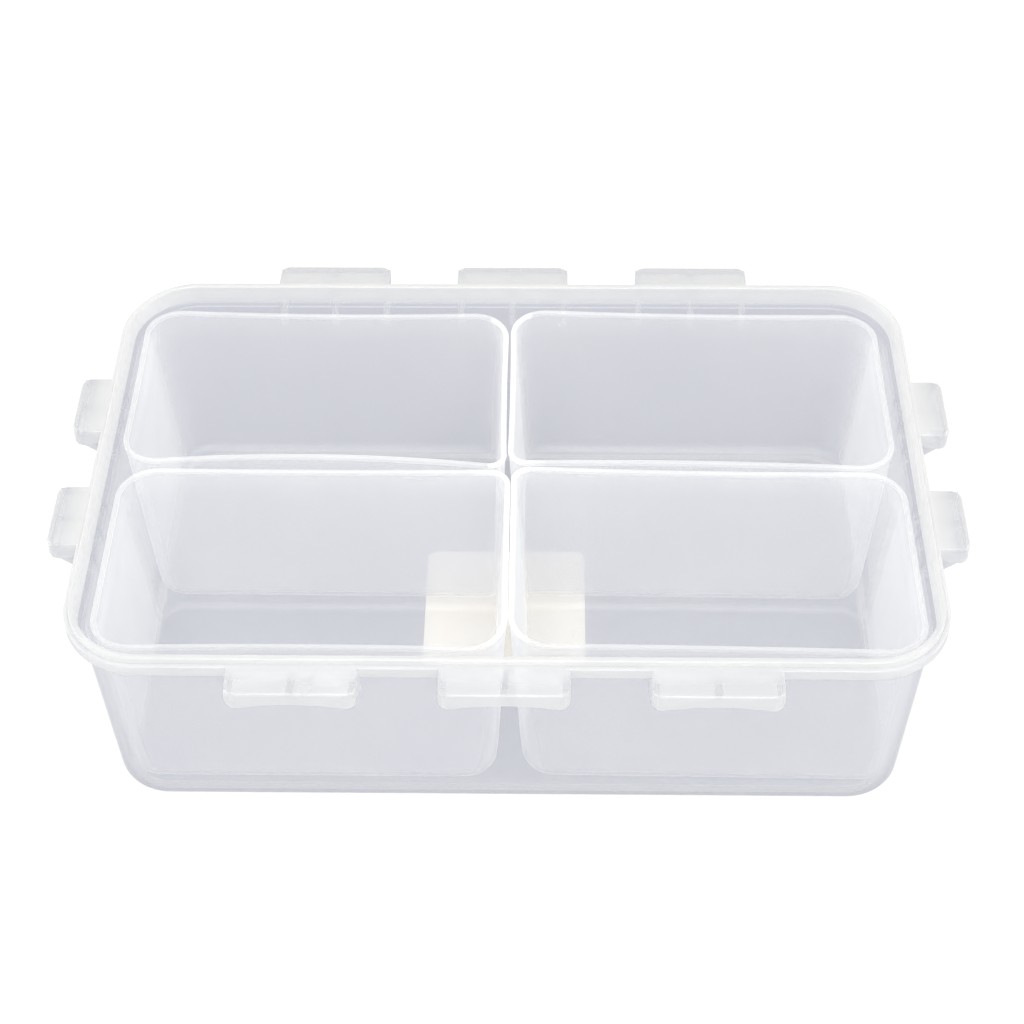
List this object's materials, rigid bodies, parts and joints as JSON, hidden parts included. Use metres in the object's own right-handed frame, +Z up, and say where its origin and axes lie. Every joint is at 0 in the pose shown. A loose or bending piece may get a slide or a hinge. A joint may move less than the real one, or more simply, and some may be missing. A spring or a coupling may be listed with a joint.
{
  "type": "parts sorting tray",
  "caption": "Shallow rectangular clear-plastic sorting tray with a snap-lid rim, catch tabs and loose lift-out bins.",
  "frame": {"origin": "centre of the face the tray stands on, midway along its length and depth", "axes": "+X along the long side to the right, +Y to the back, +Z up"},
  "size_m": [0.2682, 0.1782, 0.072],
  "materials": {
    "tray_plastic": "natural polypropylene, smooth and slightly milky",
    "bin_plastic": "natural polypropylene, milky and translucent with clearer beads",
    "label_paper": "uncoated cream paper"
  },
  "bodies": {
    "tray": {"outer_tray": "tray_plastic", "base_label": "label_paper"},
    "bin_back_left": {"bin_back_left": "bin_plastic"},
    "bin_back_right": {"bin_back_right": "bin_plastic"},
    "bin_front_left": {"bin_front_left": "bin_plastic"},
    "bin_front_right": {"bin_front_right": "bin_plastic"}
  },
  "joints": [
    {"name": "bin_back_left_lift", "type": "slide", "parent": "tray", "child": "bin_back_left", "axis": [0, 0, 1], "range_m": [0, 0.08]},
    {"name": "bin_back_right_lift", "type": "slide", "parent": "tray", "child": "bin_back_right", "axis": [0, 0, 1], "range_m": [0, 0.08]},
    {"name": "bin_front_left_lift", "type": "slide", "parent": "tray", "child": "bin_front_left", "axis": [0, 0, 1], "range_m": [0, 0.08]},
    {"name": "bin_front_right_lift", "type": "slide", "parent": "tray", "child": "bin_front_right", "axis": [0, 0, 1], "range_m": [0, 0.08]}
  ]
}
